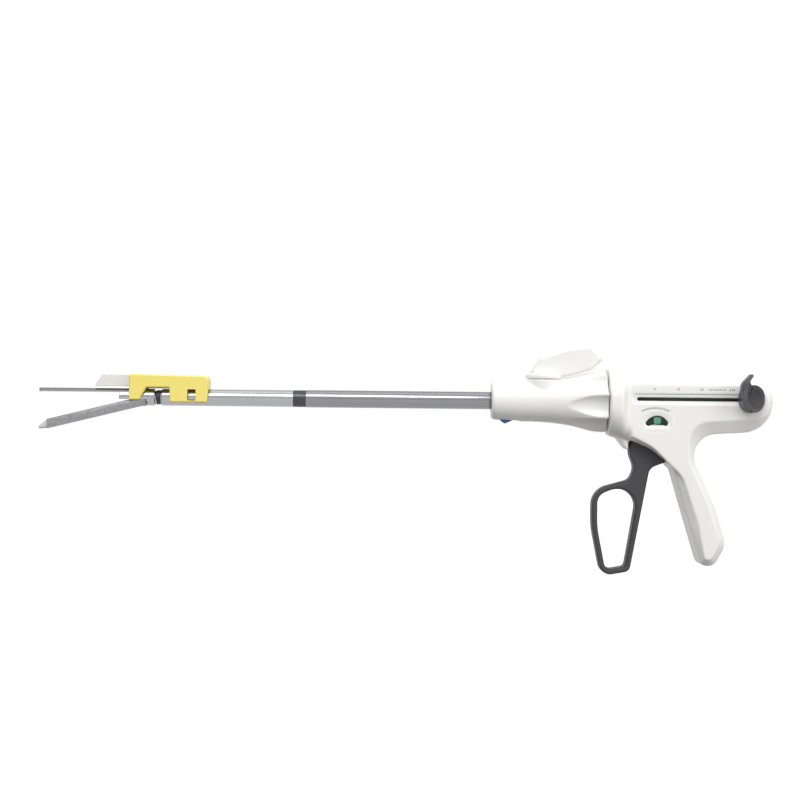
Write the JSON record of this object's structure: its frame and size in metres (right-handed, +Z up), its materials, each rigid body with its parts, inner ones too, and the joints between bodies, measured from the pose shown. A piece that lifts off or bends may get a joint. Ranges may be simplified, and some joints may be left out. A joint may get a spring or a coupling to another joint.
{
  "type": "endoscopic linear stapler",
  "caption": "Hand-held endoscopic linear stapler with a ring trigger, rotation knob, long shaft and a loaded unit whose jaws stand open in a shipping wedge.",
  "frame": {"origin": "on the shaft axis, where the outer tube leaves the nose of the rotation knob", "axes": "+X along the shaft towards the hand, jaws towards -X, +Z up away from the grip; the left side is -Y"},
  "size_m": [0.5033, 0.0676, 0.1568],
  "materials": {
    "body_white": "satin moulded",
    "trigger_grey": "fine matt",
    "knob_grey": "soft matt",
    "button_green": "translucent moulded",
    "wing_green": "dark moulded",
    "slide_blue": "moulded",
    "clip_yellow": "satin moulded",
    "tab_cream": "milky translucent",
    "tube_steel": "drawn satin",
    "unit_steel": "drawn bright",
    "jaw_steel": "tumbled",
    "pin_steel": "ground",
    "spring_steel": "drawn wire",
    "rack_plastic": "glass filled",
    "joint_black": "matt",
    "cartridge_grey": "moulded",
    "nose_pale": "milky moulded",
    "staple_titanium": "drawn wire",
    "core_plastic": "moulded",
    "seal_silicone": "matt"
  },
  "bodies": {
    "handle": {"left_shell": "body_white", "right_shell": "body_white", "trigger_pivot_pin": "pin_steel", "trigger_spring": "spring_steel"},
    "trigger": {"trigger": "trigger_grey", "pawl_pin": "pin_steel"},
    "pawl": {"drive_pawl": "pin_steel"},
    "rack": {"drive_rack": "rack_plastic", "knob_crossbar": "pin_steel", "left_retraction_knob": "knob_grey", "right_retraction_knob": "knob_grey"},
    "button": {"fire_button": "button_green", "button_wings": "wing_green"},
    "rotator": {"rotation_knob_left": "body_white", "rotation_knob_right": "body_white", "outer_tube": "tube_steel", "rod_seal": "seal_silicone"},
    "control_rod": {"control_rod": "pin_steel"},
    "lever": {"articulation_lever": "body_white"},
    "slider": {"articulation_slider": "pin_steel"},
    "unload": {"unload_slide": "slide_blue"},
    "unit": {"unit_collar": "jaw_steel", "unit_tube": "unit_steel", "unit_core": "core_plastic", "joint_sleeve": "joint_black", "joint_pins": "pin_steel"},
    "unit_link": {"articulation_link": "spring_steel"},
    "drive_bar": {"drive_bar": "pin_steel", "drive_beam": "spring_steel"},
    "head": {"head_mount": "unit_steel", "jaw_pins": "pin_steel", "anvil_plate": "jaw_steel", "anvil_cover": "jaw_steel"},
    "knife": {"knife_strut": "spring_steel"},
    "jaw": {"jaw_channel": "jaw_steel", "cartridge_body": "cartridge_grey", "staple_pushers": "nose_pale", "staples": "staple_titanium", "cartridge_nose": "nose_pale"},
    "sled": {"sled": "nose_pale", "knife_foot": "spring_steel"},
    "wedge": {"wedge_clip": "clip_yellow", "wedge_tab": "tab_cream"}
  },
  "joints": [
    {"name": "trigger_pivot", "type": "hinge", "parent": "handle", "child": "trigger", "pos_m": [0.1065, 0, -0.0215], "axis": [0, -1, 0], "range_deg": [0, 22], "stiffness_Nm_per_rad": 0.35, "springref_deg": -20.05, "deforming": ["trigger_spring"]},
    {"name": "pawl_pivot", "type": "hinge", "parent": "trigger", "child": "pawl", "pos_m": [0.1035, 0, -0.0106], "axis": [0, -1, 0], "range_deg": [0, 12], "stiffness_Nm_per_rad": 0.005, "springref_deg": -34.38},
    {"name": "rack_slide", "type": "slide", "parent": "handle", "child": "rack", "axis": [-1, 0, 0], "range_m": [0, 0.072]},
    {"name": "button_push", "type": "slide", "parent": "handle", "child": "button", "axis": [0, 1, 0], "range_m": [-0.0025, 0.0025]},
    {"name": "knob_rotation", "type": "hinge", "parent": "handle", "child": "rotator", "pos_m": [0, 0, 0], "axis": [1, 0, 0], "continuous": true},
    {"name": "rod_slide", "type": "slide", "parent": "rotator", "child": "control_rod", "axis": [-1, 0, 0], "range_m": [-0.0005, 0.0725]},
    {"name": "lever_pivot", "type": "hinge", "parent": "rotator", "child": "lever", "pos_m": [0.036, 0, 0.0146], "axis": [0, 0, 1], "range_deg": [-45, 45]},
    {"name": "slider_slide", "type": "slide", "parent": "rotator", "child": "slider", "axis": [1, 0, 0], "range_m": [-0.0017, 0.0017]},
    {"name": "unload_slide_joint", "type": "slide", "parent": "rotator", "child": "unload", "axis": [1, 0, 0], "range_m": [0, 0.004], "stiffness_N_per_m": 120, "springref_m": -0.001},
    {"name": "unit_pull", "type": "slide", "parent": "rotator", "child": "unit", "axis": [-1, 0, 0], "range_m": [0, 0.012]},
    {"name": "link_slide", "type": "slide", "parent": "unit", "child": "unit_link", "axis": [1, 0, 0], "range_m": [-0.0017, 0.0017]},
    {"name": "drive_bar_slide", "type": "slide", "parent": "unit", "child": "drive_bar", "axis": [-1, 0, 0], "range_m": [-0.0005, 0.0725], "deforming": ["drive_beam"]},
    {"name": "head_articulation", "type": "hinge", "parent": "unit", "child": "head", "pos_m": [-0.229, 0, 0], "axis": [0, 0, 1], "range_deg": [-45, 45], "deforming": ["joint_sleeve"]},
    {"name": "knife_slide", "type": "slide", "parent": "head", "child": "knife", "axis": [-1, 0, 0], "range_m": [-0.0005, 0.0605]},
    {"name": "jaw_pivot", "type": "hinge", "parent": "head", "child": "jaw", "pos_m": [-0.2345, 0, -0.0006], "axis": [0, 1, 0], "range_deg": [0, 13.9], "stiffness_Nm_per_rad": 0.05, "springref_deg": -34.38},
    {"name": "sled_slide", "type": "slide", "parent": "jaw", "child": "sled", "axis": [-0.9707, 0, -0.2402], "range_m": [-0.0005, 0.0605]},
    {"name": "wedge_lift", "type": "slide", "parent": "unit", "child": "wedge", "axis": [0, 0, 1], "range_m": [0, 0.03], "deforming": ["wedge_clip"]}
  ],
  "couplings": [
    {"joint": "rod_slide", "follows": "rack_slide", "ratio": 1},
    {"joint": "drive_bar_slide", "follows": "rack_slide", "ratio": 1},
    {"joint": "knife_slide", "follows": "rack_slide", "ratio": 0.83333},
    {"joint": "sled_slide", "follows": "rack_slide", "ratio": 0.83333},
    {"joint": "slider_slide", "follows": "lever_pivot", "m_per_rad": -0.00207},
    {"joint": "link_slide", "follows": "lever_pivot", "m_per_rad": -0.00207},
    {"joint": "head_articulation", "follows": "lever_pivot", "ratio": 1}
  ]
}
